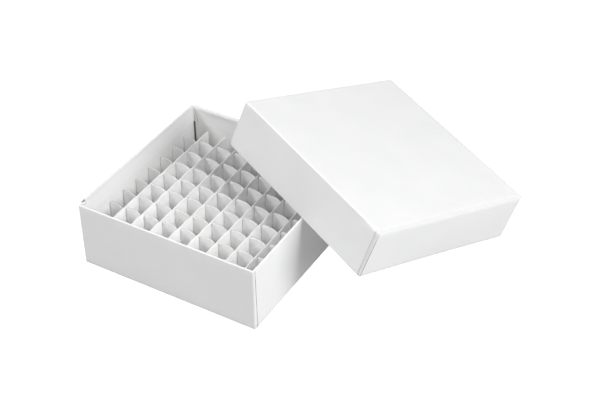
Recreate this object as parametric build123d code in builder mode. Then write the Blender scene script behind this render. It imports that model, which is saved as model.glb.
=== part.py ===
"""Cardboard cryogenic storage box: tray, lift-off lid and a cross-lapped divider of nine by nine cells.

The frame stands on the table: origin at the centre of the tray's underside, +Z up, +X to the tray's
right-hand side, +Y to its rear. The lid is off. It leans on the tray's right and rear rims with its
far corner on the table.
"""
from build123d import *
from math import cos, radians, sin
import os

# Overall sizes, millimetres
TRAY_SIDE = 132.0       # outer side of the square tray
TRAY_HEIGHT = 47.8      # outer height of the tray
LID_SIDE = 136.8        # outer side of the square lid
LID_HEIGHT = 35.0       # outer height of the lid

# Set-up box construction, shared by the tray and the lid
BOARD = 1.0             # chipboard thickness
PAPER = 0.25            # laminated wrap thickness
TURN_IN = 12.0          # depth of wrap folded down inside the rim
CORNER_RADIUS = 1.25    # outer radius of the wrapped upright corners
FLOOR_RADIUS = 1.2      # outer radius of the folds round the floor
RIM_RADIUS = 0.55       # outer radius where the wrap folds over the rim
CORNER_GAP = 0.7        # how far each board wall stops short of the inner corner
STAY = 0.15             # thickness of the paper stay that ties two walls together
STAY_LEG = 14.0         # length of each leg of a stay, from the corner
STAY_END_GAP = 2.0      # stay stops short of the floor fold and of the rim by this

# Divider
CELLS = 9               # cells along each side
PITCH = 14.45           # strip to strip
STRIP = 0.6             # thickness of a divider strip
STRIP_LENGTH = 125.6
STRIP_HEIGHT = 30.4
SLOT_WIDTH = 0.8        # cross-lap slot, at its closed end
SLOT_MOUTH = 2.6        # the slot tapers open to this, before the rounding
SLOT_DEPTH = 15.3       # a little over half the strip's height
LEAD_IN = 2.8           # rounding at the mouth of each slot
END_ROUNDING = 1.0      # rounding of a strip's top end corners
DIVIDER_X = -1.45       # the loose divider has slid towards the left wall
DIVIDER_Y = 0.0

# Where the lid rests: the inner edges of two of its walls on the tray's rims, one corner on the table
REST_GAP = 0.1                                              # air left at the two rims
REST_RIGHT = Vector(TRAY_SIDE / 2, -6.0, TRAY_HEIGHT + REST_GAP)
REST_REAR = Vector(9.8, TRAY_SIDE / 2, TRAY_HEIGHT + REST_GAP)
REST_CORNER = Vector(159.8, 94.5, 0.42)                     # centre of the lowest corner's rounding
LID_YAW = -22.22                                            # heading of the lid's left wall, degrees

WALL = PAPER + BOARD
NEAR = 0.01             # slack when picking edges and corners by size or place


def lid_plane():
    """Plane on the lid's outer top face, with its z axis pointing into the lid."""
    up = (REST_REAR - REST_CORNER).cross(REST_RIGHT - REST_CORNER).normalized()
    heading = Vector(cos(radians(LID_YAW)), sin(radians(LID_YAW)), 0)
    along = Vector(heading.X, heading.Y, -(up.X * heading.X + up.Y * heading.Y) / up.Z).normalized()
    across = up.cross(along)
    reach = LID_SIDE / 2 - CORNER_RADIUS
    origin = REST_CORNER - along * reach - across * reach + up * LID_HEIGHT
    return Plane(origin=origin, x_dir=along, z_dir=up * -1)


def height_axis(plane):
    """The line through the plane's origin along its z axis, to sort faces and edges by height."""
    return Axis(tuple(plane.origin), tuple(plane.z_dir))


def floor_panel(plane, side):
    """Chipboard panel of the floor, or of the lid's top, between the four wall panels."""
    inner = side - 2 * WALL
    with BuildPart() as panel:
        with BuildSketch(plane.offset(PAPER)):
            Rectangle(inner, inner)
        extrude(amount=BOARD)
    return panel


def wall_panel(plane, side, height):
    """Chipboard panel of the wall on the plane's +X side, folded up at the floor's crease."""
    up = height_axis(plane)
    outer = side - 2 * PAPER
    length = side - 2 * WALL - 2 * CORNER_GAP
    stay_middle = (outer / 2 - STAY_LEG + length / 2) / 2
    with BuildPart() as panel:
        with BuildSketch(plane.offset(PAPER)):
            with Locations(((outer - BOARD) / 2, 0)):
                Rectangle(BOARD, length)
        extrude(amount=height - 2 * PAPER)
        # crease, rounded outside
        low_edges = panel.edges().group_by(up)[0].sort_by(Axis(tuple(plane.origin), tuple(plane.x_dir)))
        fillet(low_edges[-1], FLOOR_RADIUS - PAPER)
        # rim, crushed round under the wrap
        rim = panel.faces().sort_by(up)[-1].edges()
        fillet(rim.filter_by(lambda edge: abs(edge.length - length) < NEAR), RIM_RADIUS - PAPER)
        # two corner stays lie flush in the outside
        with BuildSketch(plane.offset(WALL + STAY_END_GAP)):
            with Locations((outer / 2, stay_middle), (outer / 2, -stay_middle)):
                Rectangle(2 * STAY, STAY_LEG - outer / 2 + length / 2)
        extrude(amount=height - PAPER - WALL - 2 * STAY_END_GAP, mode=Mode.SUBTRACT)
    return panel


def corner_stay(plane, side, height):
    """L-shaped strip of paper that ties the +X wall and the +Y wall together, outside the board."""
    outside = side / 2 - PAPER
    inside = outside - STAY
    start = outside - STAY_LEG
    radius = CORNER_RADIUS - PAPER
    with BuildPart() as stay:
        with BuildSketch(plane.offset(WALL + STAY_END_GAP)):
            with BuildLine():
                FilletPolyline((start, outside), (outside, outside), (outside, start), radius=radius)
                FilletPolyline((start, inside), (inside, inside), (inside, start), radius=radius - STAY)
                Line((start, outside), (start, inside))
                Line((outside, start), (inside, start))
            make_face()
        extrude(amount=height - PAPER - WALL - 2 * STAY_END_GAP)
    return stay


def paper_wrap(plane, side, height):
    """Laminated paper skin: over the floor, up the walls, round the rim and down inside."""
    up = height_axis(plane)
    inner = side - 2 * WALL
    lining = inner - 2 * PAPER
    with BuildPart() as wrap:
        with BuildSketch(plane):
            RectangleRounded(side, side, CORNER_RADIUS)
        extrude(amount=height)
        fillet(wrap.edges().group_by(up)[0], FLOOR_RADIUS)
        offset(amount=-PAPER, openings=wrap.faces().sort_by(up)[-1])
        # turn-in
        with BuildSketch(plane.offset(height - TURN_IN)):
            Rectangle(inner, inner)
            Rectangle(lining, lining, mode=Mode.SUBTRACT)
        extrude(amount=TURN_IN)
        # fold over the rim
        with BuildSketch(plane.offset(height - PAPER)):
            RectangleRounded(side, side, CORNER_RADIUS)
            Rectangle(lining, lining, mode=Mode.SUBTRACT)
        extrude(amount=PAPER)
        fillet(wrap.faces().sort_by(up)[-1].edges(), RIM_RADIUS)
    return wrap


def strip(plane, slots_open_up):
    """One divider strip standing on its plane's x axis, with cross-lap slots from one long edge."""
    mouth = STRIP_HEIGHT if slots_open_up else 0.0
    closed_end = mouth - SLOT_DEPTH if slots_open_up else SLOT_DEPTH
    slot = ((-SLOT_WIDTH / 2, closed_end), (SLOT_WIDTH / 2, closed_end),
            (SLOT_MOUTH / 2, mouth), (-SLOT_MOUTH / 2, mouth))
    with BuildPart() as piece:
        with BuildSketch(plane) as outline:
            with Locations((0, STRIP_HEIGHT / 2)):
                Rectangle(STRIP_LENGTH, STRIP_HEIGHT)
            with GridLocations(PITCH, 0, CELLS - 1, 1):
                Polygon(*slot, align=None, mode=Mode.SUBTRACT)
            lead_ins = [v for v in outline.vertices()
                        if abs(v.Y - mouth) < NEAR and abs(v.X) < STRIP_LENGTH / 2 - NEAR]
            fillet(lead_ins, LEAD_IN)
            ends = [v for v in outline.vertices()
                    if abs(v.Y - STRIP_HEIGHT) < NEAR and abs(v.X) > STRIP_LENGTH / 2 - NEAR]
            fillet(ends, END_ROUNDING)
        extrude(amount=STRIP / 2, both=True)
    return piece


def save(piece, name):
    piece.part.label = name
    export_step(piece.part, f"parts/{name}.step")


os.makedirs("parts", exist_ok=True)

# Each list of walls goes round from the plane's +X side towards its +Y side
for name, plane, side, height, floor, walls in (
    ("tray", Plane.XY, TRAY_SIDE, TRAY_HEIGHT, "floor", ("right", "rear", "left", "front")),
    ("lid", lid_plane(), LID_SIDE, LID_HEIGHT, "top", ("right", "front", "left", "rear")),
):
    save(floor_panel(plane, side), f"{name}_{floor}_panel")
    save(paper_wrap(plane, side, height), f"{name}_wrap")
    for quarter, wall in enumerate(walls):
        turned = Plane(plane.location * Rotation(0, 0, 90 * quarter))
        next_wall = walls[(quarter + 1) % 4]
        save(wall_panel(turned, side, height), f"{name}_{wall}_wall")
        save(corner_stay(turned, side, height), f"{name}_{wall}_{next_wall}_stay")

for number in range(1, CELLS):
    across = (number - CELLS / 2) * PITCH
    # long strips run front to rear, slots open downwards
    long_plane = Plane(origin=(DIVIDER_X + across, DIVIDER_Y, WALL), x_dir=(0, 1, 0), z_dir=(1, 0, 0))
    save(strip(long_plane, slots_open_up=False), f"long_strip_{number}")
    # cross strips run left to right, slots open upwards
    cross_plane = Plane(origin=(DIVIDER_X, DIVIDER_Y + across, WALL), x_dir=(1, 0, 0), z_dir=(0, -1, 0))
    save(strip(cross_plane, slots_open_up=True), f"cross_strip_{number}")
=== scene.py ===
"""Cryogenic storage box: folded paper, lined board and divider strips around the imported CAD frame.

Shapes are worked out in millimetres in each carton's own frame: z runs from its closed face to
its rim, x to its right-hand wall. The tray stands on the floor, and the lid leans on it with its
top up. Walls are counted from +x towards +y. A wall's end 1 and the corner with its number lie
that way, and its end 0 lies the other way.
"""
import math
import random

import bmesh
import bpy
from mathutils import Matrix, Vector, noise


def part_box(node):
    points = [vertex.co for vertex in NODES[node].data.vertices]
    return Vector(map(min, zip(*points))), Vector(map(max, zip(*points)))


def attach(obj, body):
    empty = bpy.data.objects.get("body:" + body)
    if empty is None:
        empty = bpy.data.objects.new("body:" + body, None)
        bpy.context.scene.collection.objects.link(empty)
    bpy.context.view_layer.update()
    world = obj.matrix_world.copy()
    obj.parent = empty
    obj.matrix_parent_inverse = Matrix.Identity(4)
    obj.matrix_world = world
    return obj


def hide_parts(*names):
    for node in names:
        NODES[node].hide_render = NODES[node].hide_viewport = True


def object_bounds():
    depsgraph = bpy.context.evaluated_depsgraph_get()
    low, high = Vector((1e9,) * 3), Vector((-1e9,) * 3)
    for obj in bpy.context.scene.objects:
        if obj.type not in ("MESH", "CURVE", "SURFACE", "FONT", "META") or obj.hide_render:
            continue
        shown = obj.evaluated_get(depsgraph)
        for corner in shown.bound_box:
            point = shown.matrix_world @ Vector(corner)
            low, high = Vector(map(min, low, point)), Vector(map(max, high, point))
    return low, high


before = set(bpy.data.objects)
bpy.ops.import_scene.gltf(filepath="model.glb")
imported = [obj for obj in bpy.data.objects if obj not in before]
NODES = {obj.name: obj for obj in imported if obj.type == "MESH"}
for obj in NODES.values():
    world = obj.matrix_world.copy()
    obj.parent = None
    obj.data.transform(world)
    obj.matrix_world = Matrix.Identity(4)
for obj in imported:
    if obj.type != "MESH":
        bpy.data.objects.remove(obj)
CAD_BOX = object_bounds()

MM = 0.001
SHARP_ANGLE = 38                # degrees; edges that turn more than this are shaded sharp
MESH_STEP = 0.02                # how wide a step in a surface is drawn, and the least gap

# Folds and corners of the paper
CORNER_RADIUS = 1.25            # outer radius of the upright corners
INNER_RADIUS = 0.3              # the least it shrinks to, under the folds and inside the rim
CORNER_WEAR = 1.5               # how far along a wall a corner's wear reaches
FOLD_BLEND = 9.0                # a wall's fold eases into the next wall's over this length
FACE_MARGIN = 0.5               # from the closed face's fold to its grid of quads
FIELD_COLUMNS = 22              # columns of points between a wall's two seams
WALL_ROWS = 12                  # rows of points up a wall's outside
GLUED_ROWS = 4                  # and up its glued side
ARC_POINTS = 6

# Rim
RIM_RADIUS = 0.55               # outer radius of the fold over the rim
RIM_DIP = 0.08                  # dent along the middle of the rim
RIM_SHADE_FROM = 0.2             # a rim is painted darker from this far in, dimming its highlight
RIM_ROLLS = (0.0, 0.45, 0.0, 0.0)   # how far in each wall's risen rim rolls, as a share of its rise
RISE_FROM = 0.7                 # share of the height above which a raised wall's paper stretches up
RISE_CLEAR = 3.0                # a raised rim ends this far from a corner with a lower rim,
RISE_SLOPE = 0.6                # and drops over this length
REST_WALL = 1                   # the wall of the tray that the lid leans on:
REST_CLEAR = 15.0               # its rim starts to rise this far left of its middle,
REST_SLOPE = 18.0               # over this length

# Turned-in paper
TURN_IN = 12.0                  # how far down it reaches
TURN_IN_WAVE = 0.3              # unevenness of its cut edge
TURN_IN_ROWS = 5
CREASE_DEPTH = 6.0              # how far down the shadow in its corners fades,
CREASE_TONE = 0.1               # to this
TUCK_COLUMNS = (0.0, 0.35, 0.65, 0.9, 1.0)      # across an end that is tucked round a corner
TUCK_ROWS = 8
TUCK_WIDTH = 0.7                # its width at the rim,
TUCK_SPREAD = 2.7               # how much wider it gets at its foot,
TUCK_BULGE = 0.8                # and the power of the depth with which it does
TUCK_WAVE = 0.5                 # unevenness of its edge
TUCK_DROP = 0.3                 # how far it hangs out under the turned-in paper
TUCK_THICKNESS = 0.9            # as a share of the paper's
TUCK_CURL = 1.2                 # how much further its free corner lifts
TUCK_TONES = (0.45, 0.75)       # shadow in the crease by the corner, and on its cut edge

# Seams: near a corner one wall's paper laps over the next one's flap
SEAM_AT_RIM = 2.0               # from the outer corner to the over-lapping paper's edge
SEAM_AT_FOLD = 3.2
SEAM_WAVE = 0.12
SEAM_STEPS = (-0.6, -0.3, -0.07, 0.06, 0.2)     # columns of points on either side of that edge
SEAM_DEPTHS = (0.0, 0.1, 0.17, 0.2, 0.0, 0.0)   # how deep the corner and each column lie
SEAM_SHADES = (0.0, 0.0, 0.25, 1.0, 0.45, 0.0)  # shadow in the glue gap
SEAM_PATCHES = 0.5              # how much it varies
FLAP_COLUMNS = 4                # how many of those columns are on the flap
FLAP_TONE = 0.13                # painted shadow on the shaded flap,
FLAP_FADE = 3                   # which gains its strength this much sooner than the seam's
# Painted shadow on a flap near the closed face's fold
FLAP_FOOT_SHADE_HEIGHT = 4.0                    # how far up from the fold it reaches
FLAP_FOOT_SHADE = 0.35
FLAP_FOOT_SHADE_FADE = 2
CUT_TONE = 0.8                  # shadow on a cut edge that shows at a corner,
CUT_PATCHES = 0.7               # and how much it varies

# Notch in the tray's rim
NOTCH = (2, 1)                  # wall and end
NOTCH_COLUMNS = (2.6, 3.2, 3.4, 6.0, 6.2)       # from the outer corner
NOTCH_FLOOR = (3, 4)            # the columns at its floor, counted from the corner
NOTCH_DEPTH = 2.0
NOTCH_FROM = 0.3                # it starts this far in
NOTCH_TONES = (1.0, 0.4)        # shadow in it over the board, and over the turned-in paper

# Board
CORNER_GAP = 0.95               # the boards stop this far short of the inner corners
CREASE_ROWS = (0.0, 0.1, 0.3, 0.6, 0.9)         # rows of points up a wall's rounded foot
STAY = 0.15                     # thickness of a corner stay
STAY_LEG = 14.0                 # how far it reaches from its corner along each wall
STAY_END_GAP = 2.0              # it stops this far short of the closed face and of the rim

# Divider
CELLS = 9                       # along each side
SLOT_HALF = 0.4                 # half the slot at its closed end
SLOT_PAST_MIDDLE = 0.1          # how far past a strip's mid-height it reaches
MOUTH_HALVES = (0.9, 1.3)       # half the slot where it opens, at a tab's left and right
SHOULDERS = ((1.8, 1.8), (8.0, 4.0))            # a tab's rounding, across and down, left and right
FOOT_SPREAD = 3.0               # the most that a shoulder's columns of points spread at their foot
TAB_POINTS = 7                  # round each shoulder
END_ROUNDING = 1.0              # of the corners at a strip's ends
EDGE_BEVEL = 0.06
BEVEL_ANGLE = 50                # degrees; edges that turn more than this are bevelled
LONG_BOW = (0.03, 0.4)          # how far a long strip bows out between crossings, front and rear,
LONG_BOW_LUCK = (0.6, 1.2)      # times something in this range
CROSS_BOW = 0.2
CROSS_BOW_LUCK = (0.1, 1.0)
BOW_AT_FOOT = 0.3               # share of a strip's bow that is left at its foot
LEAN = 0.1                      # the most a strip leans, foot to top
DRIFT = 0.05                    # how far it wanders along its length


def middle(node):
    low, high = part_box(node)
    return (low + high) / 2


def smooth(share):
    """Eased step from 0 to 1."""
    share = min(max(share, 0.0), 1.0)
    return share * share * (3 - 2 * share)


def spread(low, high, count):
    """Even steps from low to high, both included."""
    return [low + (high - low) * step / count for step in range(count + 1)]


def quarter_turn(count):
    """Angles of this many points, evenly from 0 to 90 degrees."""
    return [math.radians(90 * step / (count - 1)) for step in range(count)]


def wander(distance, rate, *seed):
    """Smooth noise around 0, this many waves to the millimetre; the seed picks a line of it."""
    return noise.noise(Vector((distance * rate, *seed)))


def turned(quarter, place):
    """A place on the +x wall, turned on to another wall."""
    return Matrix.Rotation(math.radians(90 * quarter), 3, "Z") @ Vector(place)


class Carton:
    """The tray or the lid: where it is and how large, read from its CAD nodes."""

    def __init__(self, body, closed_panel, wrap, walls, reaches, drops, fold_shades, rises,
                 rim_shades, seams, shaded_flap, edge_cut_shadows, bows):
        self.body, self.closed_panel, self.wrap, self.walls = body, closed_panel, wrap, walls
        self.reaches = reaches          # how far each wall's fold reaches in over the closed face,
        self.drops = drops              # and up the wall
        self.fold = max(reaches)
        self.fold_shades = fold_shades    # how much darker each fold is painted, dimming the highlight along it
        self.rises = rises              # how much higher than the board each wall's paper stands
        self.rim_shades = rim_shades      # how much darker each rim is painted, dimming its highlight
        self.seams = seams              # (wall, end) where its paper laps over: how dark the painted shadow in its gap is
        self.shaded_flap = shaded_flap      # the wall whose flap at its end 0 gets a painted shadow, or -1
        self.edge_cut_shadows = edge_cut_shadows      # corners where a cut edge shows: how dark the painted shadow along it is
        self.bows = bows                # how far each wall's rim bows in at its middle
        panel = NODES[closed_panel].data
        broad = max(panel.polygons, key=lambda face: face.area).normal
        towards_rim = middle(wrap) - middle(closed_panel)
        into = broad.normalized() * (1 if broad.dot(towards_rim) > 0 else -1)
        sides = [face.normal for face in panel.polygons if abs(face.normal.dot(into)) < 0.1]
        right = max(sides, key=lambda normal: normal.x).normalized()
        axes = Matrix((right, into.cross(right), into))
        self.matrix = axes.transposed().to_4x4()
        low, high = self.extent(closed_panel)
        outer_low, outer_high = self.extent(wrap)
        centre = Vector(((low.x + high.x) / 2, (low.y + high.y) / 2, outer_low.z))
        placed = Matrix.Translation(self.matrix @ (centre * MM))
        self.matrix = placed @ self.matrix @ Matrix.Scale(MM, 4)
        self.side = outer_high.x - outer_low.x
        self.height = outer_high.z - outer_low.z
        self.paper = low.z - outer_low.z
        self.board = high.z - low.z
        self.wall = self.paper + self.board

    def extent(self, node):
        """A node's lowest and highest corner along the carton's axes, in millimetres."""
        back = self.matrix.to_3x3().transposed()
        points = [back @ vertex.co / MM for vertex in NODES[node].data.vertices]
        return (Vector(map(min, zip(*points))), Vector(map(max, zip(*points))))

    def warped(self, place):
        """The place moved as the walls bow, most at the middle of each rim."""
        x, y, z = place
        half = self.side / 2
        rise = z / self.height
        across = max(0.0, 1 - (y / half) ** 2) ** 2 * rise
        along = max(0.0, 1 - (x / half) ** 2) ** 2 * rise
        right, rear, left, front = self.bows
        x -= (right * max(x, 0) + left * min(x, 0)) / half * across
        y -= (rear * max(y, 0) + front * min(y, 0)) / half * along
        return Vector((x, y, z))

    def on_wall(self, quarter, along, inset, z):
        """A place on a wall, this far in from its outside."""
        return turned(quarter, (self.side / 2 - inset, along, z))


class Surface:
    """Points and faces of one piece, in millimetres."""

    def __init__(self, warp=Vector):
        self.warp = warp
        self.points, self.places, self.wear, self.shade = [], [], [], []
        self.faces, self.finishes = [], []

    def point(self, place, wear=0.0, shade=0.0):
        """Adds a point; its unwarped place, its wear and its painted shade are for the materials."""
        self.points.append(self.warp(place))
        self.places.append(place)
        self.wear.append(wear)
        self.shade.append(shade)
        return len(self.points) - 1

    def face(self, corners, finish=0):
        self.faces.append(corners)
        self.finishes.append(finish)

    def between(self, first, second, finish=0, closed=True):
        """Quads between two rows of points."""
        count = len(first)
        for i in range(count if closed else count - 1):
            j = (i + 1) % count
            self.face((first[i], first[j], second[j], second[i]), finish)

    def block(self, us, vs, front, back, finishes=(0, 0, 0), shade=lambda u, v: 0.0):
        """A closed slab between two surfaces given as functions of u and v."""
        grids = []
        for surface, finish in ((front, finishes[0]), (back, finishes[1])):
            grid = [[self.point(surface(u, v), shade=shade(u, v)) for u in us] for v in vs]
            for lower, upper in zip(grid, grid[1:]):
                self.between(lower, upper, finish, closed=False)
            grids.append(grid)
        loops = [grid[0] + [row[-1] for row in grid[1:]] + grid[-1][-2::-1]
                 + [row[0] for row in grid[-2:0:-1]] for grid in grids]
        self.between(loops[0], loops[1], finishes[2])

    def finished(self, name, matrix, body, materials, slot, nodes, modify=None):
        """Makes the object, which rides on its body and stands for its CAD nodes."""
        mesh = bpy.data.meshes.new(name)
        mesh.from_pydata([matrix @ point for point in self.points], [], self.faces)
        for material in materials:
            mesh.materials.append(material)
        mesh.polygons.foreach_set("material_index", self.finishes)
        place = mesh.attributes.new("place", "FLOAT_VECTOR", "POINT")
        place.data.foreach_set("vector", [value for point in self.places for value in point])
        for label, values in (("wear", self.wear), ("shade", self.shade)):
            mesh.attributes.new(label, "FLOAT", "POINT").data.foreach_set("value", values)
        solid = bmesh.new()
        solid.from_mesh(mesh)
        bmesh.ops.recalc_face_normals(solid, faces=solid.faces)
        solid.to_mesh(mesh)
        solid.free()
        piece = bpy.data.objects.new(name, mesh)
        bpy.context.scene.collection.objects.link(piece)
        if modify:
            modify(piece)
            graph = bpy.context.evaluated_depsgraph_get()
            piece.data = bpy.data.meshes.new_from_object(piece.evaluated_get(graph))
            piece.modifiers.clear()
        piece.data.shade_smooth()
        piece.data.set_sharp_from_angle(angle=math.radians(SHARP_ANGLE))
        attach(piece, body)
        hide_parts(*nodes)
        return piece


# ---------------------------------------------------------------- folded paper

def fold_size(carton, sizes, quarter, along):
    """A wall's own size of fold, easing into the next wall's near the corners."""
    nearest = (quarter + (1 if along > 0 else -1)) % 4
    share = 0.5 * smooth(1 - (carton.side / 2 - abs(along)) / FOLD_BLEND)
    return sizes[quarter] * (1 - share) + sizes[nearest] * share


def rim_rise(carton, quarter, along, z):
    """How much higher the paper stands here.

    It stands at its full rise along the wall and round the corner to another raised wall.
    """
    rise = carton.rises[quarter]
    for end in (-1, 1):
        if carton.rises[(quarter + end) % 4] < rise:
            rise *= smooth((carton.side / 2 - end * along - RISE_CLEAR) / RISE_SLOPE)
    if quarter == REST_WALL and carton.body == "tray":
        rise *= smooth((along - REST_CLEAR) / REST_SLOPE)
    return rise * smooth((z / carton.height - RISE_FROM) / (1 - RISE_FROM))


def refolded(carton, z, drop):
    """The height with the fold as tall as drop, and the wall above it spread to suit."""
    top = carton.height - RIM_RADIUS
    if z <= carton.fold:
        return z * drop / carton.fold
    return z if z >= top else drop + (z - carton.fold) * (top - drop) / (top - carton.fold)


def quarter_ellipse(share):
    """Rise of a rounding at this share of its reach: 1 at its start and 0 at its end."""
    return 1 - math.sqrt(1 - max(0.0, 1 - share) ** 2)


def wrap_profile(carton):
    """Section through the paper, from the closed face round the rim to the board.

    Each point is (inset, z, zone).
    """
    height, paper = carton.height, carton.paper
    lined = carton.wall + paper
    turns = quarter_turn(ARC_POINTS)
    fold = carton.fold
    profile = [(fold * (1 - math.sin(a)), fold * (1 - math.cos(a)), "fold") for a in turns]
    wall_height = height - RIM_RADIUS - fold
    profile += [(0.0, fold + wall_height * (step / WALL_ROWS), "wall")
                for step in range(1, WALL_ROWS)]
    profile += [(RIM_RADIUS * (1 - math.cos(a)), height - RIM_RADIUS * (1 - math.sin(a)), "rim")
                for a in turns]
    profile += [(lined / 2, height - RIM_DIP, "rim")]
    profile += [(lined - RIM_RADIUS * (1 - math.sin(a)),
                 height - RIM_RADIUS * (1 - math.cos(a)), "rim") for a in turns]
    inner_height = TURN_IN - RIM_RADIUS
    profile += [(lined, height - RIM_RADIUS - inner_height * step / TURN_IN_ROWS, "turn-in")
                for step in range(1, TURN_IN_ROWS + 1)]
    profile += [(carton.wall, height - TURN_IN, "cut"), (carton.wall, height - 2 * paper, "hidden"),
                (carton.wall - paper, height - paper, "hidden"),
                (2 * paper, height - paper, "hidden")]
    profile += [(paper, glued, "hidden") for glued in spread(height - 2 * paper, fold, GLUED_ROWS)]
    profile += [(fold, paper, "hidden")]
    return profile


def seam_distance(carton, z, number):
    """How far this seam's over-lapping edge is from the outer corner at this height."""
    share = 1 - z / carton.height
    wave = wander(z, 0.13, number * 7.3, carton.side)
    return SEAM_AT_RIM + (SEAM_AT_FOLD - SEAM_AT_RIM) * share + SEAM_WAVE * wave


def wall_columns(carton, quarter, z, notch):
    """Places along a wall, from one rounded corner to the other, denser at the two seams."""
    half = carton.side / 2
    ends = []
    for end in (0, 1):
        seam = seam_distance(carton, z, quarter * 2 + end)
        steps = NOTCH_COLUMNS if notch == (quarter, end) else [seam + step for step in SEAM_STEPS]
        ends.append([CORNER_RADIUS, *steps])
    start, stop = [step - half for step in ends[0]], [half - step for step in reversed(ends[1])]
    gap = (stop[0] - start[-1]) / (FIELD_COLUMNS + 1)
    return start + [start[-1] + gap * (step + 1) for step in range(FIELD_COLUMNS)] + stop


def paper_place(carton, section, quarter, along):
    """Inset, corner radius and height of one point of the section at a place along a wall."""
    base_inset, z, zone = section
    inset, level = base_inset, z
    if zone == "fold":
        inset *= fold_size(carton, carton.reaches, quarter, along) / carton.fold
    if zone != "hidden":
        level = refolded(carton, z, fold_size(carton, carton.drops, quarter, along))
        rise = rim_rise(carton, quarter, along, z)
        if base_inset > carton.wall / 2 + carton.paper:
            lowered = min(1.0, (carton.height - z) / RIM_RADIUS)
            if zone == "rim":
                inset += fold_size(carton, RIM_ROLLS, quarter, along) * rise * lowered
            rise *= 1 - lowered
        level += rise
    return inset, max(CORNER_RADIUS - inset, INNER_RADIUS), level


def seam_marks(carton, quarter, end, from_end, z, fade):
    """Depth and painted shadow of a wall's paper at one of the columns near its end."""
    if from_end >= len(SEAM_DEPTHS) or (quarter, end) not in carton.seams:
        return 0.0, 0.0
    gap = 1.0 + SEAM_PATCHES * wander(z, 0.22, end * 3.1, carton.side + quarter)
    shade = SEAM_SHADES[from_end] * gap * fade
    if from_end < FLAP_COLUMNS:
        # painted shadow on the flap, strongest at the fold
        shade += FLAP_FOOT_SHADE * smooth(1 - z / FLAP_FOOT_SHADE_HEIGHT) * min(1.0, FLAP_FOOT_SHADE_FADE * fade)
    shade *= carton.seams[quarter, end]
    # painted shadow over the whole of the shaded flap
    if from_end < FLAP_COLUMNS and (quarter, end) == (carton.shaded_flap, 0):
        shade += flap_shade(fade)
    return SEAM_DEPTHS[from_end] * fade, shade


def flap_shade(fade):
    """Painted shadow on the shaded flap, given how strong the seam's is here."""
    return FLAP_TONE * min(1.0, FLAP_FADE * fade)


def paper_ring(surface, carton, section, notch):
    """One point of the section taken round the four walls and corners."""
    base_inset, z, zone = section
    half, height = carton.side / 2, carton.height
    outside = zone == "fold" or zone in ("wall", "rim") and base_inset <= RIM_RADIUS
    fade = z / carton.fold if zone == "fold" else max(0.0, 1 - base_inset / (2 * RIM_RADIUS))
    fade *= outside
    crease = 0.0
    # painted shadow in the inner corners, fading down from the rim
    if zone == "turn-in":
        near_rim = smooth((z - height + CREASE_DEPTH) / CREASE_DEPTH)
        crease = CREASE_TONE + (1 - CREASE_TONE) * near_rim
    fold_wear = 1.0 if zone in ("fold", "rim") else 0.0
    folding = 1 - abs(base_inset - z) / carton.fold if zone == "fold" else 0.0
    ring = []
    for quarter in range(4):
        columns = wall_columns(carton, quarter, z, notch)
        for index, along in enumerate(columns):
            inset, radius, level = paper_place(carton, section, quarter, along)
            scale = (half - inset - radius) / (half - CORNER_RADIUS)
            from_end = min(index, len(columns) - 1 - index)
            end = int(index > len(columns) / 2)
            depth, shade = seam_marks(carton, quarter, end, from_end, z, fade)
            # painted shade on the rim's top, dimming its highlight
            if zone == "rim" and inset > RIM_SHADE_FROM:
                shade = carton.rim_shades[quarter]
            # painted shade across each fold, dimming its highlight
            shade += folding * carton.fold_shades[quarter]
            # painted shadow in the notch
            in_notch = notch == (quarter, end) and from_end in NOTCH_FLOOR and zone == "rim"
            if in_notch and inset > NOTCH_FROM:
                level = z - NOTCH_DEPTH
                shade = NOTCH_TONES[inset >= carton.wall]
            if zone in ("turn-in", "cut") and level < height - TURN_IN + MESH_STEP / 2:
                level += TURN_IN_WAVE * wander(along, 0.09, quarter * 5.1, half)
            corner_wear = smooth(1 - (half - abs(along) - CORNER_RADIUS) / CORNER_WEAR) * outside
            ring.append(surface.point(carton.on_wall(quarter, along * scale, inset + depth, level),
                                      max(fold_wear, corner_wear), shade))
        inset, radius, level = paper_place(carton, section, quarter, half)
        centre = half - inset - radius
        # painted shade across the fold round the corner, dimming its highlight
        corner_fold_shade = folding * (carton.fold_shades[quarter] + carton.fold_shades[(quarter + 1) % 4]) / 2
        for step in range(1, ARC_POINTS):
            turn = math.radians(90 * step / ARC_POINTS)
            # painted shadow along a cut edge, at the corner's first step
            cut = fade * carton.edge_cut_shadows.get(quarter, 0.0) if step == 1 else 0.0
            cut *= CUT_TONE + CUT_PATCHES * wander(z, 0.2, quarter, carton.side)
            # the shaded flap's painted shadow, carried on round the corner
            if quarter == carton.shaded_flap - 1 and step > 1:
                cut = flap_shade(fade)
            x, y = centre + radius * math.cos(turn), centre + radius * math.sin(turn)
            ring.append(surface.point(turned(quarter, (x, y, level)), float(outside),
                                      max(cut, crease, corner_fold_shade)))
    return ring


def paper_wrap(carton, materials, slot, notch=None):
    """The whole laminated skin: closed face, walls with their seams, rim and turned-in edge."""
    surface = Surface(carton.warped)
    profile = wrap_profile(carton)
    rings = [paper_ring(surface, carton, section, notch) for section in profile]
    for before, after, (_, _, zone) in zip(rings, rings[1:], profile[1:]):
        surface.between(before, after, 1 if zone == "hidden" else 0)
    close_ring(surface, carton, rings[0], 0.0, 0)
    close_ring(surface, carton, rings[-1], carton.paper, 1)
    for corner in range(4):
        tucked_end(surface, carton, corner)
    return surface.finished(f"{carton.body}_paper", carton.matrix, carton.body, materials, slot,
                            [carton.wrap])


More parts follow.
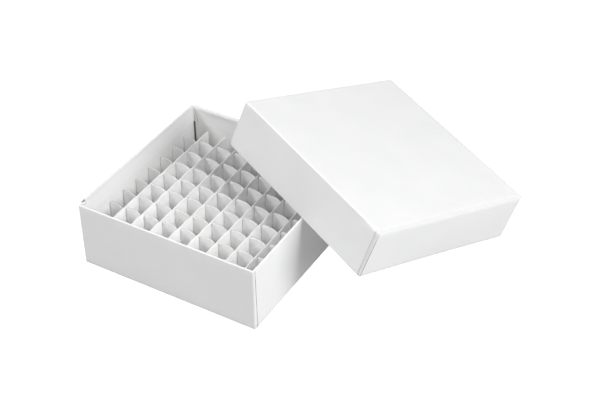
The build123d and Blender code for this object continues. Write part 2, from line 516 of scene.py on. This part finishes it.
def close_ring(surface, carton, ring, z, finish):
    """Fills the closed face inside a ring with a square grid of quads."""
    count = 2 * (1 + len(SEAM_STEPS)) + FIELD_COLUMNS
    reach = carton.side / 2 - max(CORNER_RADIUS, carton.fold) - FACE_MARGIN
    side_points = [surface.places[index] for index in ring[:count]]
    scale = reach / max(point.y for point in side_points)
    lines = [point.y * scale for point in side_points]
    grid = [[surface.point(Vector((x, y, z))) for y in lines] for x in lines]
    for near, far in zip(grid, grid[1:]):
        surface.between(near, far, finish, closed=False)
    edges = [grid[-1], [row[-1] for row in reversed(grid)], grid[0][::-1], [row[0] for row in grid]]
    step = count + ARC_POINTS - 1
    for quarter, edge in enumerate(edges):
        wall = ring[quarter * step: quarter * step + count]
        surface.between(wall, edge, finish, closed=False)
        arc = [ring[(quarter * step + count - 1 + k) % len(ring)] for k in range(ARC_POINTS + 1)]
        for first, second in zip(arc, arc[1:]):
            surface.face((first, second, edge[-1]), finish)


def tucked_end(surface, carton, corner):
    """The end of one turned-in edge, folded round the inner corner on to the next wall."""
    lined = carton.wall + carton.paper
    corner_at = carton.side / 2 - lined
    crease_end, cut_start = TUCK_COLUMNS[2:4]

    def at(u, v, lift):
        wave = v * wander(v, 2.1, corner * 3.7, carton.side)
        width = TUCK_WIDTH + TUCK_SPREAD * v ** TUCK_BULGE + TUCK_WAVE * wave
        z = carton.height - RIM_RADIUS - (TURN_IN - RIM_RADIUS + TUCK_DROP) * v
        curl = lift * (1 + TUCK_CURL * u ** 3 * v)
        return carton.on_wall(corner, corner_at - MESH_STEP - u * width, lined + curl, z)

    # painted shadow in the crease by the corner and along the cut edge
    def shade(u, v):
        return max(TUCK_TONES[0] * smooth(1 - u / crease_end),
                   TUCK_TONES[1] * smooth((u - cut_start) / (1 - cut_start)))

    thickness = TUCK_THICKNESS * carton.paper
    surface.block(TUCK_COLUMNS, spread(0, 1, TUCK_ROWS), lambda u, v: at(u, v, thickness),
                  lambda u, v: at(u, v, 0.0), shade=shade)


# ---------------------------------------------------------------- chipboard

def board_wall(carton, quarter, wall, materials, slot):
    """A wall panel with its crushed crease and rim, recessed outside for the two corner stays."""
    outer = carton.side / 2 - carton.paper
    length = carton.side - 2 * carton.wall - 2 * CORNER_GAP
    low, high = carton.paper, carton.height - carton.paper
    rim = RIM_RADIUS - carton.paper
    leg = outer - STAY_LEG
    us = sorted([-length / 2, -leg - MESH_STEP, -leg, *spread(-leg + 1, leg - 1, 14),
                 leg, leg + MESH_STEP, length / 2])
    foot, top = low + carton.board + STAY_END_GAP, high - STAY_END_GAP
    vs = [*(low + row for row in CREASE_ROWS), foot, foot + MESH_STEP,
          *spread(foot + 1, top - 1, 4), top - MESH_STEP, top, high - rim, high - rim / 2, high]

    def level(u, v):
        """The row's height, squeezed up where the fold rounds off the panel's foot."""
        drop = fold_size(carton, carton.drops, quarter, u)
        reach = fold_size(carton, carton.reaches, quarter, u)
        lift = drop * quarter_ellipse(carton.wall / reach)
        return v + lift * (high - v) / (high - low)

    def outside(u, v):
        z = level(u, v)
        drop = fold_size(carton, carton.drops, quarter, u)
        reach = fold_size(carton, carton.reaches, quarter, u)
        inset = carton.paper + reach * quarter_ellipse(z / drop)
        inset += rim * quarter_ellipse((high - z) / rim)
        if abs(u) > leg + MESH_STEP / 2 and foot + MESH_STEP / 2 < v < top - MESH_STEP / 2:
            inset += STAY
        return carton.on_wall(quarter, u, min(inset, carton.wall - MESH_STEP), z)

    def inside(u, v):
        round_off = 0.5 * rim * quarter_ellipse((high - v) / rim)
        return carton.on_wall(quarter, u, carton.wall - round_off, level(u, v))

    surface = Surface(carton.warped)
    surface.block(us, vs, inside, outside, (0, 1, 1))
    return surface.finished(f"{carton.body}_{wall}_board", carton.matrix, carton.body, materials,
                            slot, [f"{carton.body}_{wall}_wall"])


def closed_panel(carton, materials, slot):
    """The flat panel of the tray's floor or the lid's top."""
    half = carton.side / 2 - carton.wall
    lines = [-half, -half + 0.5, -half + 1, *spread(-half + 2, half - 2, 10),
             half - 1, half - 0.5, half]
    surface = Surface(carton.warped)

    def outside(u, v):
        inset = carton.side / 2 - max(abs(u), abs(v))
        rise = max(carton.drops) * quarter_ellipse(inset / carton.fold)
        return Vector((u, v, carton.paper + rise))

    surface.block(lines, lines, lambda u, v: Vector((u, v, carton.wall)), outside, (0, 1, 1))
    return surface.finished(f"{carton.closed_panel}_board", carton.matrix, carton.body, materials,
                            slot, [carton.closed_panel])


# ---------------------------------------------------------------- divider

def tab_outline(start, stop, at_end):
    """(foot, along, drop) down the slotted edge of one tab.

    foot is the point's place at the slots' closed end, and drop how far it lies below the mouths.
    """
    sides = []
    for foot, inward, at_strip_end, shoulder, mouth_half in (
            (start, 1, at_end[0], SHOULDERS[0], MOUTH_HALVES[0]),
            (stop, -1, at_end[1], SHOULDERS[1], MOUTH_HALVES[1])):
        across, down = (END_ROUNDING, END_ROUNDING) if at_strip_end else shoulder
        mouth = foot + inward * (0 if at_strip_end else mouth_half - SLOT_HALF)
        sides.append([(foot + inward * min(across, FOOT_SPREAD) * (1 - math.cos(a)),
                       mouth + inward * across * (1 - math.cos(a)),
                       down * (1 - math.sin(a))) for a in quarter_turn(TAB_POINTS)])
    left, right = sides[0], sides[1][::-1]
    between = [tuple(a + (b - a) * share for a, b in zip(left[-1], right[0]))
               for share in (0.25, 0.5, 0.75)]
    return left + between + right


def strip(name, materials, slot, luck):
    """A divider strip where its CAD node is, slotted from one long edge and bowed in each cell."""
    low, high = (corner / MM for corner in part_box(name))
    size, centre = high - low, (low + high) / 2
    runs_back = size.y > size.x
    length, thick, height = max(size.x, size.y), min(size.x, size.y), size.z
    others = "cross" if runs_back else "long"
    crossings = [middle(f"{others}_strip_{number}") / MM for number in range(1, CELLS)]
    slots = [(place.y - centre.y) if runs_back else (place.x - centre.x) for place in crossings]
    depth = height / 2 + SLOT_PAST_MIDDLE
    stops = [-length / 2, *slots, length / 2]
    if runs_back:
        bows = [LONG_BOW[0] + (LONG_BOW[1] - LONG_BOW[0]) * cell / (CELLS - 1)
                * luck.uniform(*LONG_BOW_LUCK) for cell in range(CELLS)]
    else:
        bows = [luck.uniform(*CROSS_BOW_LUCK) * CROSS_BOW for _ in range(CELLS)]
    lean = luck.uniform(-LEAN, LEAN)
    sway = luck.uniform(0, math.tau)

    def sideways(along, rise):
        """How far the strip stands out of its plane."""
        cell = min(sum(along > stop for stop in stops[1:-1]), CELLS - 1)
        share = (along - stops[cell]) / (stops[cell + 1] - stops[cell])
        bow = bows[cell] * math.sin(math.pi * min(max(share, 0), 1)) ** 2
        drift = DRIFT * math.sin(along / length * math.tau + sway)
        return (bow * (BOW_AT_FOOT + (1 - BOW_AT_FOOT) * rise / height) + drift
                + lean * (rise / height - 0.5))

    surface = Surface()

    def point(along, rise):
        """Adds a point this far from the strip's uncut long edge."""
        if runs_back:
            rise = height - rise
            place = Vector((centre.x - sideways(along, rise), centre.y + along, low.z + rise))
        else:
            place = Vector((centre.x + along, centre.y + sideways(along, rise), low.z + rise))
        index = surface.point(place)
        surface.places[index] = Vector((along, centre.x + centre.y, rise))
        return index

    uncut, slotted = (0, 0.03, 0.35, 0.7, 1.0), (0.25, 0.5, 0.75, 0.9, 1.0)
    starts = [stops[0], *(stop + SLOT_HALF for stop in stops[1:-1])]
    ends = [*(stop - SLOT_HALF for stop in stops[1:-1]), stops[-1]]
    previous = None
    for tab, (start, stop) in enumerate(zip(starts, ends)):
        rows = []
        for foot, along, drop in tab_outline(start, stop, (tab == 0, tab == CELLS - 1)):
            row = [point(foot, (height - depth) * share) for share in uncut]
            row += [point(foot + (along - foot) * share, height - depth + (depth - drop) * share)
                    for share in slotted]
            rows.append(row)
        if previous:
            surface.between(previous[:len(uncut)], rows[0][:len(uncut)], closed=False)
        for near, far in zip(rows, rows[1:]):
            surface.between(near, far, closed=False)
        previous = rows[-1]

    def thicken(piece):
        solid = piece.modifiers.new("thickness", "SOLIDIFY")
        solid.thickness, solid.offset = thick * MM, 0.0
        solid.material_offset_rim = 1
        rounding = piece.modifiers.new("edges", "BEVEL")
        rounding.width, rounding.segments = EDGE_BEVEL * MM, 2
        rounding.limit_method, rounding.angle_limit = "ANGLE", math.radians(BEVEL_ANGLE)

    return surface.finished(f"{name}_board", Matrix.Scale(MM, 4), "divider", materials, slot,
                            [name], thicken)


# ---------------------------------------------------------------- materials

class Shading:
    """A Principled material and the nodes that feed it."""

    def __init__(self, name, coordinates="place"):
        self.material = bpy.data.materials.new(name)
        self.material.use_nodes = True
        self.tree = self.material.node_tree
        self.shader = self.tree.nodes["Principled BSDF"]
        if coordinates == "place":
            source = self.node("ShaderNodeAttribute")
            source.attribute_name = "place"
            self.place = source.outputs["Vector"]
        else:
            source = self.node("ShaderNodeTexCoord")
            scaled = self.node("ShaderNodeVectorMath", operation="SCALE")
            self.tree.links.new(source.outputs["Object"], scaled.inputs[0])
            scaled.inputs["Scale"].default_value = 1 / MM
            self.place = scaled.outputs["Vector"]

    def node(self, kind, **settings):
        """Adds a node with these settings."""
        made = self.tree.nodes.new(kind)
        for key, value in settings.items():
            setattr(made, key, value)
        return made

    def noise(self, size, detail=3.0, stretch=(1, 1, 1)):
        """Noise from 0 to 1 with grains about this many millimetres across."""
        mapping = self.node("ShaderNodeMapping")
        mapping.inputs["Scale"].default_value = [1 / (size * factor) for factor in stretch]
        texture = self.node("ShaderNodeTexNoise")
        texture.inputs["Scale"].default_value = 1.0
        texture.inputs["Detail"].default_value = detail
        texture.inputs["Roughness"].default_value = 0.55
        self.tree.links.new(self.place, mapping.inputs["Vector"])
        self.tree.links.new(mapping.outputs["Vector"], texture.inputs["Vector"])
        return texture.outputs["Fac"]

    def attribute(self, name):
        source = self.node("ShaderNodeAttribute")
        source.attribute_name = name
        return source.outputs["Fac"]

    def number(self, operation, first, second):
        """A sum or product; each part is a socket or a number."""
        made = self.node("ShaderNodeMath", operation=operation)
        for socket, value in zip(made.inputs, (first, second)):
            if isinstance(value, (int, float)):
                socket.default_value = value
            else:
                self.tree.links.new(value, socket)
        return made.outputs[0]

    def ramp(self, value, low, high, from_low=0.0, from_high=1.0):
        """The value from low to high as it goes from one limit to the other."""
        made = self.node("ShaderNodeMapRange")
        made.clamp = True
        self.tree.links.new(value, made.inputs["Value"])
        for key, number in (("From Min", from_low), ("From Max", from_high), ("To Min", low),
                            ("To Max", high)):
            made.inputs[key].default_value = number
        return made.outputs["Result"]

    def blend(self, share, first, second):
        """A colour mix; each colour is a socket or an RGB tuple."""
        made = self.node("ShaderNodeMix", data_type="RGBA")
        self.tree.links.new(share, made.inputs["Factor"])
        for socket, value in ((made.inputs["A"], first), (made.inputs["B"], second)):
            if isinstance(value, tuple):
                socket.default_value = (*value, 1)
            else:
                self.tree.links.new(value, socket)
        return made.outputs["Result"]

    def bumps(self, *layers):
        """Bump layers as (height, depth in millimetres)."""
        normal = None
        for height, depth in layers:
            bump = self.node("ShaderNodeBump")
            bump.inputs["Distance"].default_value = depth * MM
            self.tree.links.new(height, bump.inputs["Height"])
            if normal:
                self.tree.links.new(normal, bump.inputs["Normal"])
            normal = bump.outputs["Normal"]
        self.tree.links.new(normal, self.shader.inputs["Normal"])

    def glow_through(self):
        """Lets light through thin board, as bleached fibre does."""
        self.shader.inputs["Subsurface Weight"].default_value = 0.35
        self.shader.inputs["Subsurface Radius"].default_value = (1, 1, 1)
        self.shader.inputs["Subsurface Scale"].default_value = 1.5 * MM

    def done(self, colour, roughness, specular):
        """The material, once its colour and roughness are linked up."""
        self.tree.links.new(colour, self.shader.inputs["Base Color"])
        self.tree.links.new(roughness, self.shader.inputs["Roughness"])
        self.shader.inputs["Specular IOR Level"].default_value = specular
        return self.material


def laminated_paper():
    """White paper with a thin satin laminate: mottling, streaks up the walls, scuffed folds, and
    painted shade from the shade attribute.
    """
    look = Shading("laminated_paper")
    mottle = look.noise(26.0, 4.0)
    fibre = look.noise(0.5, 4.0)
    scuff = look.noise(1.4, 5.0)
    streaks = look.noise(7.0, 2.0, (1, 1, 12))
    wear, shade = look.attribute("wear"), look.attribute("shade")
    worn = look.number("MULTIPLY", wear, look.ramp(scuff, 0.0, 1.0, 0.5, 0.72))
    white = look.blend(look.ramp(mottle, 0, 1, 0.3, 0.7), (0.835, 0.838, 0.842),
                       (0.862, 0.862, 0.862))
    white = look.blend(look.ramp(fibre, 0, 0.25, 0.4, 0.8), white, (0.79, 0.79, 0.79))
    white = look.blend(look.number("MULTIPLY", worn, 0.35), white, (0.7, 0.695, 0.685))
    # painted shade: shadows in gaps, creases, the notch and on flaps, and darkened folds and rims
    white = look.blend(shade, white, (0.22, 0.215, 0.21))
    satin = look.ramp(mottle, 0.36, 0.46, 0.3, 0.7)
    rough = look.number("ADD", satin, look.number("MULTIPLY", worn, 0.3))
    look.bumps((streaks, 0.05), (look.noise(3.2, 3.0), 0.02), (fibre, 0.008))
    return look.done(white, rough, 0.45)


def paper_back():
    """The glued side of the wrap: greyish, with dried glue."""
    look = Shading("paper_back")
    glue = look.noise(5.0, 4.0)
    colour = look.blend(look.ramp(glue, 0, 1, 0.35, 0.65), (0.3, 0.28, 0.25), (0.42, 0.4, 0.37))
    look.bumps((glue, 0.05))
    return look.done(colour, look.ramp(glue, 0.6, 0.9), 0.3)


def lined_board():
    """The white lining of the chipboard: uncoated, with fibres and a few grey specks."""
    look = Shading("lined_board")
    cloud, fibre = look.noise(14.0, 3.0), look.noise(0.7, 5.0, (1, 1, 3))
    speck = look.noise(0.35, 1.0)
    colour = look.blend(look.ramp(cloud, 0, 1, 0.3, 0.7), (0.815, 0.813, 0.808),
                        (0.85, 0.849, 0.846))
    colour = look.blend(look.ramp(fibre, 0, 0.35, 0.45, 0.8), colour, (0.7, 0.69, 0.675))
    colour = look.blend(look.ramp(speck, 0, 0.5, 0.74, 0.8), colour, (0.5, 0.48, 0.45))
    look.bumps((cloud, 0.04), (fibre, 0.02))
    return look.done(colour, look.ramp(fibre, 0.7, 0.88), 0.25)


def chipboard_core():
    """Grey recycled fibre, seen on the board's cut edges and its outside."""
    look = Shading("chipboard_core")
    fibre, layer = look.noise(0.5, 5.0), look.noise(0.8, 3.0, (6, 6, 0.4))
    colour = look.blend(look.ramp(fibre, 0, 1, 0.3, 0.7), (0.3, 0.28, 0.25), (0.46, 0.44, 0.4))
    colour = look.blend(look.ramp(layer, 0, 0.4, 0.4, 0.7), colour, (0.24, 0.22, 0.2))
    look.bumps((fibre, 0.06))
    return look.done(colour, look.ramp(fibre, 0.8, 0.95), 0.2)


def stay_paper():
    """Brown gummed paper of the corner stays."""
    look = Shading("stay_paper", "object")
    fibre = look.noise(0.6, 4.0, (4, 1, 1))
    colour = look.blend(look.ramp(fibre, 0, 1, 0.3, 0.7), (0.2, 0.15, 0.1), (0.29, 0.22, 0.15))
    look.bumps((fibre, 0.02))
    return look.done(colour, look.ramp(fibre, 0.55, 0.75), 0.35)


def divider_board():
    """Smooth bleached board of the divider strips, with its grain along the strip."""
    look = Shading("divider_board")
    cloud, grain = look.noise(9.0, 3.0), look.noise(0.45, 4.0, (5, 1, 1))
    colour = look.blend(look.ramp(cloud, 0, 1, 0.3, 0.7), (0.88, 0.88, 0.88), (0.91, 0.91, 0.908))
    colour = look.blend(look.ramp(grain, 0, 0.3, 0.45, 0.8), colour, (0.82, 0.815, 0.805))
    look.bumps((cloud, 0.03), (grain, 0.012))
    look.glow_through()
    return look.done(colour, look.ramp(grain, 0.5, 0.68), 0.35)


def divider_edge(name, pale, dull):
    """The strips' cut edges: pressed layers with loose fibre."""
    look = Shading(name)
    fibre = look.noise(0.22, 5.0, (4, 1, 1))
    colour = look.blend(look.ramp(fibre, 0, 1, 0.35, 0.7), pale, dull)
    look.bumps((fibre, 0.03))
    look.glow_through()
    return look.done(colour, look.ramp(fibre, 0.7, 0.9), 0.25)


# ---------------------------------------------------------------- studio

SWEEP_RADIUS = 4.0              # metres, of the flat part of the floor that the camera sees
SWEEP_HEIGHT = 4.0
SWEEP_GLOW = 1.05
TABLE_TONE = 0.3                # of the table whose light the box gets
TABLE_GLOW = 0.23
ROOM_LIGHT = 0.04
SOFTBOXES = (                   # name, azimuth and elevation in degrees, watts
    ("front", 22, 40, 7.1),
    ("high_right", 80, 55, 7.7),
    ("right", 86, 40, 10.2),
    ("low_right", 94, 20, 5.8),
    ("rear_left", 225, 45, 2.6),
    ("low_left", 250, 18, 1.2),
    ("front_left", 309, 41, 12.2),
)
SOFTBOX_SIZE = 0.5              # metres
SOFTBOX_DISTANCE = 1.6
CAMERA_PLACE = (397.9, -574.2, 575.4)           # millimetres
CAMERA_AZIMUTH = 30.53          # degrees, as for the lights
CAMERA_ELEVATION = 38.30
CAMERA_ROLL = -0.45
CAMERA_LENS = 80.6              # millimetres
SENSOR_WIDTH = 36


def direction(azimuth, elevation):
    """From the box towards a light or the camera; azimuth 0 is in front and 90 to the right."""
    turn, rise = math.radians(azimuth), math.radians(elevation)
    return Vector((math.sin(turn) * math.cos(rise), -math.cos(turn) * math.cos(rise),
                   math.sin(rise)))


def sheet(name, outline, colour, glow, seen):
    """A matt surface of the studio, either seen by the camera alone or felt by the box alone."""
    mesh = bpy.data.meshes.new(name)
    mesh.from_pydata(*outline)
    look = Shading(name, "object")
    grain = look.noise(2.0, 2.0)
    tone = look.blend(grain, tuple(0.99 * part for part in colour), colour)
    mesh.materials.append(look.done(tone, look.ramp(grain, 0.9, 0.95), 0.0))
    look.shader.inputs["Emission Color"].default_value = (1, 1, 1, 1)
    look.shader.inputs["Emission Strength"].default_value = glow
    made = bpy.data.objects.new(name, mesh)
    made.visible_camera = seen
    made.visible_diffuse = made.visible_glossy = made.visible_transmission = not seen
    made.visible_shadow = not seen
    bpy.context.scene.collection.objects.link(made)


def sweep(radius, height):
    """Outline of a round floor that curves up into a wall all round."""
    steps, turns = 12, 64
    points, faces = [(0, 0, 0)], []
    for step in range(steps + 1):
        rise = math.radians(90 * step / steps)
        reach = radius + height * math.sin(rise)
        for turn in range(turns):
            angle = math.tau * turn / turns
            points.append((reach * math.cos(angle), reach * math.sin(angle),
                           height * (1 - math.cos(rise))))
    for turn in range(turns):
        after = (turn + 1) % turns
        faces.append((0, 1 + turn, 1 + after))
        for step in range(steps):
            low, high = 1 + step * turns, 1 + (step + 1) * turns
            faces.append((low + turn, high + turn, high + after, low + after))
    return points, [], faces


def floor():
    """A glowing white sweep that the camera sees, and a duller table that lights the box."""
    sheet("sweep", sweep(SWEEP_RADIUS, SWEEP_HEIGHT), (0.95, 0.95, 0.95), SWEEP_GLOW, seen=True)
    half = SWEEP_RADIUS
    square = [(-half, -half, 0), (half, -half, 0), (half, half, 0), (-half, half, 0)]
    sheet("table", (square, [], [(0, 1, 2, 3)]), (TABLE_TONE, TABLE_TONE, TABLE_TONE), TABLE_GLOW,
          seen=False)


def softbox(name, azimuth, elevation, power):
    """A square area light aimed at the box."""
    away = direction(azimuth, elevation)
    lamp = bpy.data.lights.new(name, "AREA")
    lamp.shape, lamp.size, lamp.energy = "SQUARE", SOFTBOX_SIZE, power
    made = bpy.data.objects.new(name, lamp)
    made.location = (CAD_BOX[0] + CAD_BOX[1]) / 2 + away * SOFTBOX_DISTANCE
    made.rotation_euler = away.to_track_quat("Z", "Y").to_euler()
    bpy.context.scene.collection.objects.link(made)


def surroundings():
    """A faint even light from everywhere."""
    world = bpy.data.worlds.new("studio")
    world.use_nodes = True
    sky = world.node_tree.nodes["Background"]
    sky.inputs["Color"].default_value = (1, 1, 1, 1)
    sky.inputs["Strength"].default_value = ROOM_LIGHT
    bpy.context.scene.world = world


def camera():
    """The camera at the photo's viewing angle."""
    turn = math.radians(CAMERA_AZIMUTH)
    back = direction(CAMERA_AZIMUTH, CAMERA_ELEVATION)
    right = Vector((math.cos(turn), math.sin(turn), 0))
    level = Matrix((right, back.cross(right), back)).transposed()
    data = bpy.data.cameras.new("camera")
    data.lens, data.sensor_width = CAMERA_LENS, SENSOR_WIDTH
    data.clip_start, data.clip_end = 0.01, 100
    made = bpy.data.objects.new("camera", data)
    rolled = level @ Matrix.Rotation(math.radians(CAMERA_ROLL), 3, "Z")
    made.matrix_world = Matrix.Translation(Vector(CAMERA_PLACE) * MM) @ rolled.to_4x4()
    bpy.context.scene.collection.objects.link(made)
    bpy.context.scene.camera = made


# ---------------------------------------------------------------- the object

# Walls in the order that Carton counts them: the tray's right, rear, left and front, and the lid's
# right, front, left and rear
tray = Carton("tray", "tray_floor_panel", "tray_wrap", ("right", "rear", "left", "front"),
              reaches=(1.2, 1.2, 1.2, 1.2), drops=(1.2, 1.2, 1.2, 1.2),
              fold_shades=(0.0, 0.0, 0.0, 0.0), rises=(0.0, 1.3, 1.3, 0.0),
              rim_shades=(0.07, 0.02, 0.06, 0.04),
              seams={(0, 0): 1.0, (0, 1): 0.8, (2, 0): 0.9, (2, 1): 0.7}, shaded_flap=-1,
              edge_cut_shadows={}, bows=(0.3, -0.1, 0.1, 0.2))
lid = Carton("lid", "lid_top_panel", "lid_wrap", ("right", "front", "left", "rear"),
             reaches=(3.0, 3.0, 0.9, 0.9), drops=(2.8, 0.4, 0.9, 0.9),
             fold_shades=(0.2, 0.0, 0.1, 0.1), rises=(0.0, 0.0, 0.0, 0.0),
             rim_shades=(0.06, 0.06, 0.06, 0.06),
             seams={(1, 0): 0.35, (1, 1): 0.0, (3, 0): 0.9, (3, 1): 0.6}, shaded_flap=1,
             edge_cut_shadows={0: 1.5, 2: 0.5}, bows=(0.3, 0.4, 0.3, 0.3))

paper, back, lining, core = laminated_paper(), paper_back(), lined_board(), chipboard_core()
for carton, notch in ((tray, NOTCH), (lid, None)):
    paper_wrap(carton, [paper, back], "laminated_paper", notch)
    closed_panel(carton, [lining, core], "lined_chipboard")
    for quarter, wall in enumerate(carton.walls):
        board_wall(carton, quarter, wall, [lining, core], "lined_chipboard")

gummed = stay_paper()
for name, node in NODES.items():
    if name.endswith("_stay"):
        node.data.materials.clear()
        node.data.materials.append(gummed)

board = divider_board()
smooth_edge = divider_edge("strip_edge", (0.81, 0.81, 0.805), (0.74, 0.735, 0.725))
# painted shade: the slotted strips' edges are coloured darker than the long strips' edges
shaded_edge = divider_edge("shaded_slotted_strip_edge", (0.62, 0.615, 0.605), (0.57, 0.565, 0.555))
luck = random.Random(81)
for number in range(1, CELLS):
    strip(f"long_strip_{number}", [board, smooth_edge], "divider_board", luck)
    strip(f"cross_strip_{number}", [board, shaded_edge], "divider_board", luck)

floor()
surroundings()
for name, azimuth, elevation, power in SOFTBOXES:
    softbox(name, azimuth, elevation, power)
camera()
bpy.context.scene.view_settings.view_transform = "Standard"
